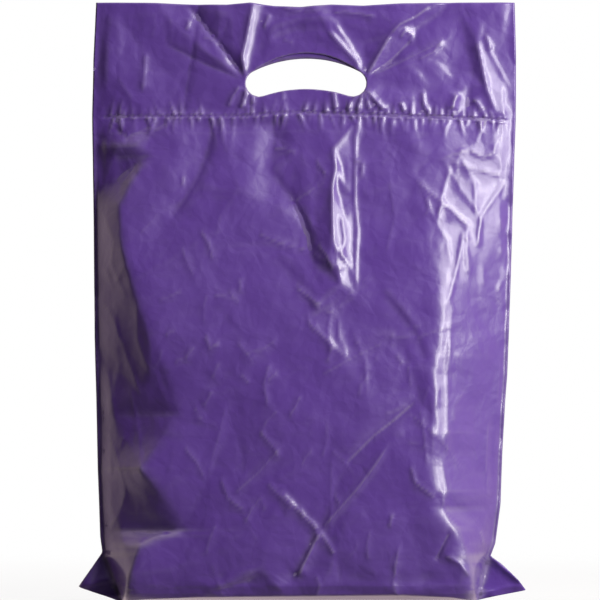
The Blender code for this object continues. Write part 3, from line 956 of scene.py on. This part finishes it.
def film_material(look):
    material = bpy.data.materials.new("violet_film")
    material.use_nodes = True
    tree = material.node_tree
    shader = tree.nodes["Principled BSDF"]
    shader.inputs["IOR"].default_value = FILM_IOR
    shader.inputs["Coat Weight"].default_value = look.gloss
    shader.inputs["Coat Roughness"].default_value = SHINE_ROUGHNESS
    places = add_node(tree, "TexCoord", (-1600, 0))
    # Pales the film colour by the attribute: stretched film along creases, and a painted highlight on the
    # slot's rim
    stress_and_rim_highlight = add_node(tree, "Attribute", (-1300, 500), attribute_name="stress_and_rim_highlight")
    colours = (("A", (*look.film_colour, 1.0)), ("B", (*look.pale_crease_and_rim_highlight_colour, 1.0)))
    pale_crease_and_rim_highlight_mix = add_node(tree, "Mix", (-700, 400), colours, data_type="RGBA")
    join(stress_and_rim_highlight, "Fac", pale_crease_and_rim_highlight_mix, "Factor")
    join(pale_crease_and_rim_highlight_mix, "Result", shader, "Base Color")
    low, high = (look.roughness + shift for shift in ROUGHNESS_SPREAD)
    ends = (("From Min", 0.3), ("From Max", 0.7), ("To Min", low), ("To Max", high))
    gloss = add_node(tree, "MapRange", (-700, 100), ends)
    join(add_noise(tree, places, (-1300, 250), BLOTCHES, 3.0), "Fac", gloss, "Value")
    join(gloss, "Result", shader, "Roughness")
    warped = add_node(tree, "VectorMath", (-1300, -300), ((1, [WARP[1]] * 3),), operation="MULTIPLY_ADD")
    join(add_noise(tree, places, (-1500, -300), WARP[0], 1.0), "Color", warped, 0)
    join(places, "Object", warped, 2)
    grain = add_noise(tree, places, (-1100, -100), FILM_GRAIN[0], 2.0)
    normal = add_bump(tree, grain, "Fac", FILM_GRAIN[1], None, (-900, -100))
    for row, (scale, height, kind) in enumerate(CRINKLES):
        down = -300 - 300 * row
        cells = add_node(tree, "TexVoronoi", (-1100, down), (("Scale", scale),), feature=kind)
        join(warped, "Vector", cells, "Vector")
        normal = add_bump(tree, cells, "Distance", height * look.crinkle, normal, (-900 + 200 * row, down))
    join(normal, "Normal", shader, "Normal")
    return material


# --- stage

CAMERA_AIM = (-0.0047, 0.0, 0.2351)
SENSOR = 36.0
WARM_WHITE = (1.0, 0.99, 0.91)
# Soft lights: place, aim, width and height, colour
LIGHTS = {
    "panel": ((1.09, -0.91, 0.85), (0, 0, 0.28), (0.8, 1.3), WARM_WHITE),
    "strip": ((1.04, -0.87, 0.84), (0, 0, 0.28), (0.12, 1.3), WARM_WHITE),
    "top": ((0.3, -0.35, 1.9), (0, 0, 0), (1.6, 1.2), (1, 1, 1)),
}
ROOM_FILL = 0.25  # share of the room's glow that fills the film's own colour; all of it is mirrored
# Glows of the room: the direction, where the glow starts and ends by its closeness, its strength and colour
ROOM_GLOWS = (
    ((0, 0, 1), -1.0, -0.9, 0.015, (1.0, 0.95, 1.05)),
    ((0, 1, 0.1), -0.38, 0.02, 0.68, (1.0, 0.80, 0.78)),
    ((0.85, -0.30, 0.42), 0.45, 1.0, 0.13, (1.0, 0.98, 1.0)),
    ((0, -0.25, -1), 0.55, 1.0, 0.12, (1.0, 0.85, 0.85)),
)
FLOOR_RADIUS = 1.6
FLOOR_ROUGHNESS = 0.7
FLOOR_FADE = (0.35, 1.5)  # the floor melts into the white between these distances from the bag
FLOOR_OPACITY = 0.1


def add_object(name, data):
    made = bpy.data.objects.new(name, data)
    bpy.context.scene.collection.objects.link(made)
    return made


def look_at(item, place, aim):
    item.location = place
    item.rotation_euler = (Vector(aim) - Vector(place)).to_track_quat("-Z", "Y").to_euler()


def aimed_camera(look):
    data = bpy.data.cameras.new("camera")
    camera = add_object("camera", data)
    aim = Vector(CAMERA_AIM)
    look_at(camera, (aim.x, -look.distance, look.eye_height), aim)
    data.sensor_width = SENSOR
    data.lens = data.sensor_width * (aim - camera.location).length / look.field
    bpy.context.scene.camera = camera


def soft_light(name, power):
    place, aim, size, colour = LIGHTS[name]
    data = bpy.data.lights.new(name, "AREA")
    data.shape = "RECTANGLE"
    data.size, data.size_y = size
    data.energy = power
    data.color = colour
    look_at(add_object(name, data), place, aim)


def room_glow(tree):
    """The sum of the room's glows, as the last node of a chain."""
    places = add_node(tree, "TexCoord", (-1000, 0))
    total = None
    for row, (direction, start, end, strength, colour) in enumerate(ROOM_GLOWS):
        down = -250 * row
        toward = add_node(
            tree, "VectorMath", (-800, down), ((1, Vector(direction).normalized()),), operation="DOT_PRODUCT"
        )
        glow = add_node(
            tree, "MapRange", (-600, down), (("From Min", start), ("From Max", end)),
            interpolation_type="SMOOTHSTEP",
        )
        tinted = add_node(
            tree, "VectorMath", (-400, down), ((0, [strength * part for part in colour]),), operation="SCALE"
        )
        join(places, "Generated", toward, 0)
        join(toward, "Value", glow, "Value")
        join(glow, "Result", tinted, "Scale")
        if total is None:
            total = tinted
        else:
            added = add_node(tree, "VectorMath", (-200, down), operation="ADD")
            join(total, "Vector", added, 0)
            join(tinted, "Vector", added, 1)
            total = added
    return total


def studio_world():
    """White to the eye, and dim in the film's reflections, with a pale wall behind the bag."""
    world = bpy.data.worlds.new("studio")
    bpy.context.scene.world = world
    world.use_nodes = True
    tree = world.node_tree
    tree.nodes.clear()
    out = add_node(tree, "OutputWorld", (600, 0))
    mix = add_node(tree, "MixShader", (400, 0))
    path = add_node(tree, "LightPath", (0, 300))
    seen = add_node(tree, "Background", (200, -200), (("Color", (1, 1, 1, 1)),))
    room = add_node(tree, "Background", (200, 0))
    share = add_node(tree, "Math", (200, 300), ((1, ROOM_FILL - 1.0), (2, 1.0)), operation="MULTIPLY_ADD")
    join(room_glow(tree), "Vector", room, "Color")
    join(path, "Is Diffuse Ray", share, 0)
    join(share, "Value", room, "Strength")
    join(path, "Is Camera Ray", mix, "Fac")
    join(room, "Background", mix, 1)
    join(seen, "Background", mix, 2)
    join(mix, "Shader", out, "Surface")


def pale_floor(look):
    bm = bmesh.new()
    bmesh.ops.create_circle(bm, cap_ends=True, segments=96, radius=FLOOR_RADIUS)
    mesh = bpy.data.meshes.new("floor")
    bm.to_mesh(mesh)
    bm.free()
    floor = add_object("floor", mesh)
    material = bpy.data.materials.new("pale_floor")
    material.use_nodes = True
    tree = material.node_tree
    shader = tree.nodes["Principled BSDF"]
    shader.inputs["Base Color"].default_value = (*look.floor_colour, 1)
    shader.inputs["Roughness"].default_value = FLOOR_ROUGHNESS
    places = add_node(tree, "TexCoord", (-900, 0))
    length = add_node(tree, "VectorMath", (-700, 0), operation="LENGTH")
    near, far = FLOOR_FADE
    ends = (("From Min", near), ("From Max", far), ("To Min", FLOOR_OPACITY), ("To Max", 0.0))
    fade = add_node(tree, "MapRange", (-500, 0), ends, interpolation_type="SMOOTHSTEP")
    join(places, "Object", length, 0)
    join(length, "Value", fade, "Value")
    join(fade, "Result", shader, "Alpha")
    mesh.materials.append(material)


class CARRIERBAG_OT_stage(bpy.types.Operator):
    """Makes the camera, the lights and the pale floor"""

    bl_idname = "carrier_bag.stage"
    bl_label = "Build Stage"

    def execute(self, context):
        look = context.scene.carrier_bag_stage
        aimed_camera(look)
        studio_world()
        pale_floor(look)
        soft_light("panel", look.panel_power)
        soft_light("strip", look.strip_power)
        soft_light("top", look.top_power)
        context.scene.view_settings.view_transform = "Standard"
        return {"FINISHED"}


class CARRIERBAG_OT_film(bpy.types.Operator):
    """Builds the bag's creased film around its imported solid"""

    bl_idname = "carrier_bag.film"
    bl_label = "Build Film"

    def execute(self, context):
        sizes = context.scene.carrier_bag_sizes
        bm = film_shell(sizes)
        open_edges = [edge for edge in bm.edges if not edge.is_manifold]
        if open_edges:
            place = tuple(open_edges[0].verts[0].co)
            raise RuntimeError(f"the film has {len(open_edges)} open edges, the first at {place}")
        mesh = bpy.data.meshes.new("carrier_bag_film")
        bm.to_mesh(mesh)
        bm.free()
        film = add_object("carrier_bag_film", mesh)
        mesh.materials.append(film_material(context.scene.carrier_bag_film))
        mesh.shade_smooth()
        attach(film, "root")
        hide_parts("carrier_bag")
        return {"FINISHED"}


class CARRIERBAG_PT_panel(bpy.types.Panel):
    """Lists the bag's sizes, colours and build steps"""

    bl_label = "Carrier Bag"
    bl_idname = "CARRIERBAG_PT_panel"
    bl_space_type = "VIEW_3D"
    bl_region_type = "UI"
    bl_category = "Carrier Bag"

    def draw(self, context):
        for group in (
            context.scene.carrier_bag_sizes, context.scene.carrier_bag_film, context.scene.carrier_bag_stage
        ):
            box = self.layout.box()
            for name in group.bl_rna.properties.keys():
                if name not in ("rna_type", "name"):
                    box.prop(group, name)
        for operator in (CARRIERBAG_OT_stage, CARRIERBAG_OT_film):
            self.layout.operator(operator.bl_idname)


CLASSES = (BagSizes, FilmLook, StageLook, CARRIERBAG_OT_stage, CARRIERBAG_OT_film, CARRIERBAG_PT_panel)
GROUPS = {"carrier_bag_sizes": BagSizes, "carrier_bag_film": FilmLook, "carrier_bag_stage": StageLook}


def register():
    for item in CLASSES:
        bpy.utils.register_class(item)
    for name, group in GROUPS.items():
        setattr(bpy.types.Scene, name, bpy.props.PointerProperty(type=group))


def unregister():
    for name in GROUPS:
        delattr(bpy.types.Scene, name)
    for item in reversed(CLASSES):
        bpy.utils.unregister_class(item)


def main():
    register()
    bpy.ops.carrier_bag.stage()
    bpy.ops.carrier_bag.film()


if __name__ == "__main__":
    main()
